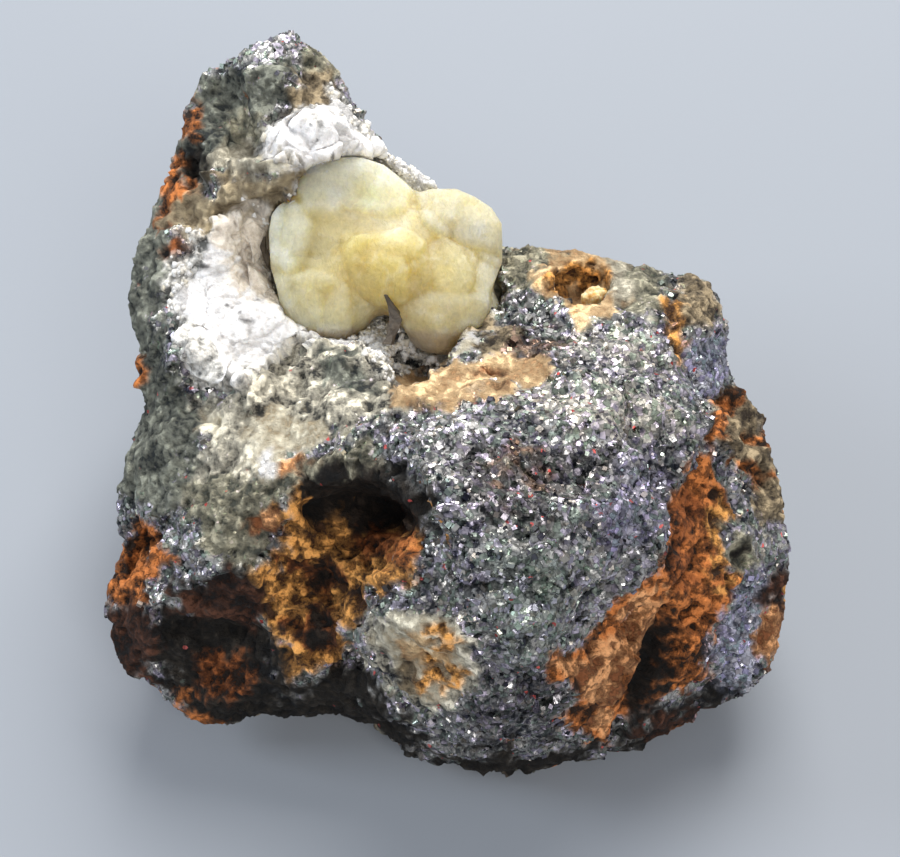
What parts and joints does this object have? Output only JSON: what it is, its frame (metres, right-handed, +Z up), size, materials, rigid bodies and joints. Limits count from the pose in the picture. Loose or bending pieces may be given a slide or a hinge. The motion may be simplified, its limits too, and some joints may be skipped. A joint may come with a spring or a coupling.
{
  "type": "leadhillite mineral specimen",
  "caption": "Rough lump of sparkling grey galena with rusty hollows and a tall corner, holding pale yellow intergrown crystals in a white-crusted pocket.",
  "frame": {"origin": "a point on the flat underside that the stone rests on, below its middle", "axes": "+Z up from the surface it rests on, +X to the right and +Y away from a viewer who faces the crystals, with the tall corner at the back left"},
  "size_m": [0.0685, 0.0694, 0.0504],
  "materials": {
    "galena_rock": "granular, sparkling grey with earthy rust-brown and ochre parts",
    "white_crust": "matt, powdery white to cream",
    "leadhillite": "translucent pale yellow with a soft waxy shine",
    "amber_nodule": "dull honey yellow"
  },
  "bodies": {
    "root": {"galena_matrix": "galena_rock", "leadhillite_crystals": "leadhillite", "white_crust_left": "white_crust", "white_crust_upper": "white_crust", "amber_nodule": "amber_nodule"}
  },
  "joints": []
}
